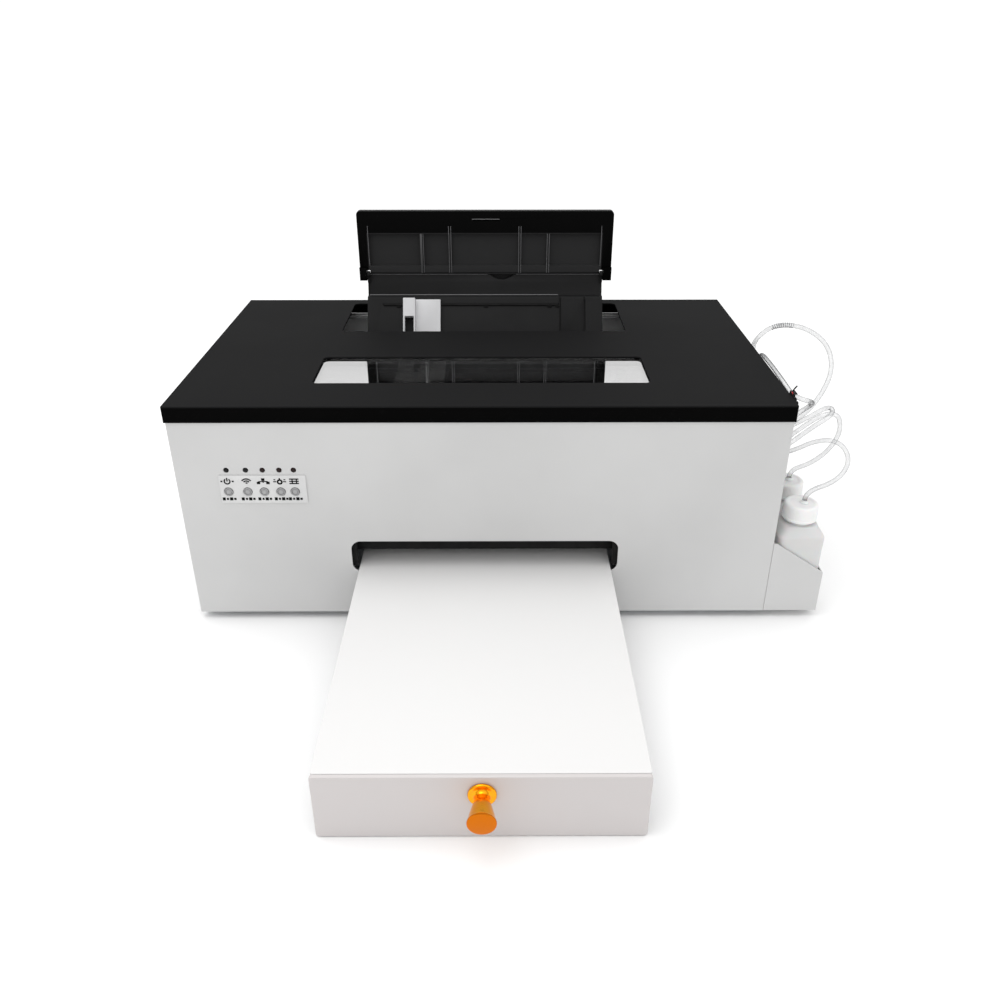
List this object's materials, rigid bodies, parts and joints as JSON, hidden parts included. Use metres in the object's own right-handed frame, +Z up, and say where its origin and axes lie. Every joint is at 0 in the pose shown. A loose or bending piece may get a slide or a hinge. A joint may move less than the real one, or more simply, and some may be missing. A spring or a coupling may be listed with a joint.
{
  "type": "flatbed uv printer",
  "caption": "desktop flatbed UV printer with a white sheet-metal case, black hinged lid, sliding print bed, rear paper support and side waste bottles with clear tubes",
  "frame": {"origin": "on the table, under the middle of the printer's outline without its tubes", "axes": "+Z up, +X to the right seen from the front, the front of the case faces -Y"},
  "size_m": [0.6143, 0.6154, 0.3271],
  "materials": {
    "white_paint": "satin powder coat",
    "bed_white": "smooth satin enamel",
    "black_paint": "fine textured powder coat",
    "black_plastic": "fine grain",
    "grey_plastic": "fine grain",
    "label_plastic": "smooth printed film",
    "rubber": "matte",
    "steel": "brushed",
    "zinc_sheet": "zinc-plated sheet",
    "gold_anodised": "gold anodised, turned",
    "clear_acrylic": "half-mirrored, polished",
    "bottle_plastic": "translucent",
    "clear_tube": "clear, soft",
    "board": "solder-masked board",
    "brass": "turned"
  },
  "bodies": {
    "case": {"base_plate": "zinc_sheet", "front_panel": "white_paint", "left_side_panel": "white_paint", "right_side_panel": "white_paint", "rear_panel": "white_paint", "foot_front_left": "rubber", "foot_front_right": "rubber", "foot_rear_left": "rubber", "foot_rear_right": "rubber", "label_plate": "label_plastic", "control_board": "board", "power_inlet": "black_plastic", "hinge_case_leaf": "steel", "slide_outer_left": "zinc_sheet", "slide_outer_right": "zinc_sheet", "feed_motor": "steel", "side_frame_left": "zinc_sheet", "side_frame_right": "zinc_sheet", "chassis_beam": "zinc_sheet", "guide_rod": "steel", "carriage_belt": "rubber", "carriage_motor": "steel", "feeder_frame": "black_plastic", "bottle_pocket": "white_paint", "bottle_front": "bottle_plastic", "bottle_rear": "bottle_plastic", "cap_front": "bottle_plastic", "cap_rear": "bottle_plastic", "tube_outlet": "rubber", "tube_clip": "black_plastic", "tube_loop": "clear_tube", "tube_rim": "clear_tube", "tube_hairpin": "clear_tube", "tube_rear_bottle": "clear_tube", "tube_front_bottle": "clear_tube"},
    "bed": {"bed_plate": "bed_white", "bed_apron": "bed_white", "bed_knob": "gold_anodised", "bed_rack": "zinc_sheet", "slide_inner_left": "zinc_sheet", "slide_inner_right": "zinc_sheet"},
    "slide_middles": {"slide_middle_left": "steel", "slide_middle_right": "steel"},
    "pinion": {"drive_pinion": "brass"},
    "lid": {"lid_cover": "black_paint", "window_pane": "clear_acrylic", "hinge_lid_leaf": "steel"},
    "flap": {"support_flap": "black_plastic"},
    "guide": {"edge_guide": "grey_plastic"},
    "power_button": {"button_power": "grey_plastic"},
    "wireless_button": {"button_wireless": "grey_plastic"},
    "network_button": {"button_network": "grey_plastic"},
    "clean_button": {"button_clean": "grey_plastic"},
    "feed_button": {"button_feed": "grey_plastic"},
    "carriage": {"print_carriage": "black_plastic", "print_head": "steel", "uv_lamp": "zinc_sheet"},
    "belt_pulley": {"motor_pulley": "brass"},
    "belt_idler": {"idler_pulley": "grey_plastic"},
    "roller": {"pickup_roller": "rubber"}
  },
  "joints": [
    {"name": "bed_slide", "type": "slide", "parent": "case", "child": "bed", "axis": [0, 1, 0], "range_m": [0, 0.255]},
    {"name": "middle_slide", "type": "slide", "parent": "case", "child": "slide_middles", "axis": [0, 1, 0], "range_m": [0, 0.1275]},
    {"name": "pinion_spin", "type": "hinge", "parent": "case", "child": "pinion", "pos_m": [-0.02187, 0.00675, 0.0348], "axis": [1, 0, 0], "range_deg": [-1085, 2]},
    {"name": "lid_hinge", "type": "hinge", "parent": "case", "child": "lid", "pos_m": [-0.02488, 0.30535, 0.2063], "axis": [-1, 0, 0], "range_deg": [0, 58]},
    {"name": "flap_hinge", "type": "hinge", "parent": "case", "child": "flap", "pos_m": [-0.02287, 0.26275, 0.2598], "axis": [1, 0, 0], "range_deg": [0, 95]},
    {"name": "guide_slide", "type": "slide", "parent": "case", "child": "guide", "axis": [1, 0, 0], "range_m": [-0.03, 0.13]},
    {"name": "power_press", "type": "slide", "parent": "case", "child": "power_button", "axis": [0, 1, 0], "range_m": [0, 0.0015], "stiffness_N_per_m": 700},
    {"name": "wireless_press", "type": "slide", "parent": "case", "child": "wireless_button", "axis": [0, 1, 0], "range_m": [0, 0.0015], "stiffness_N_per_m": 700},
    {"name": "network_press", "type": "slide", "parent": "case", "child": "network_button", "axis": [0, 1, 0], "range_m": [0, 0.0015], "stiffness_N_per_m": 700},
    {"name": "clean_press", "type": "slide", "parent": "case", "child": "clean_button", "axis": [0, 1, 0], "range_m": [0, 0.0015], "stiffness_N_per_m": 700},
    {"name": "feed_press", "type": "slide", "parent": "case", "child": "feed_button", "axis": [0, 1, 0], "range_m": [0, 0.0015], "stiffness_N_per_m": 700},
    {"name": "carriage_slide", "type": "slide", "parent": "case", "child": "carriage", "axis": [1, 0, 0], "range_m": [-0.362, 0]},
    {"name": "belt_pulley_spin", "type": "hinge", "parent": "case", "child": "belt_pulley", "pos_m": [-0.23988, 0.17875, 0.1268], "axis": [0, 1, 0], "range_deg": [-10, 2400]},
    {"name": "belt_idler_spin", "type": "hinge", "parent": "case", "child": "belt_idler", "pos_m": [0.19312, 0.17875, 0.1268], "axis": [0, 1, 0], "range_deg": [-10, 2400]},
    {"name": "roller_spin", "type": "hinge", "parent": "case", "child": "roller", "pos_m": [-0.02287, 0.20575, 0.1828], "axis": [1, 0, 0], "continuous": true}
  ],
  "couplings": [
    {"joint": "middle_slide", "follows": "bed_slide", "ratio": 0.5},
    {"joint": "pinion_spin", "follows": "bed_slide", "rad_per_m": -74.074},
    {"joint": "belt_pulley_spin", "follows": "carriage_slide", "rad_per_m": -111.73},
    {"joint": "belt_idler_spin", "follows": "carriage_slide", "rad_per_m": -111.73}
  ]
}
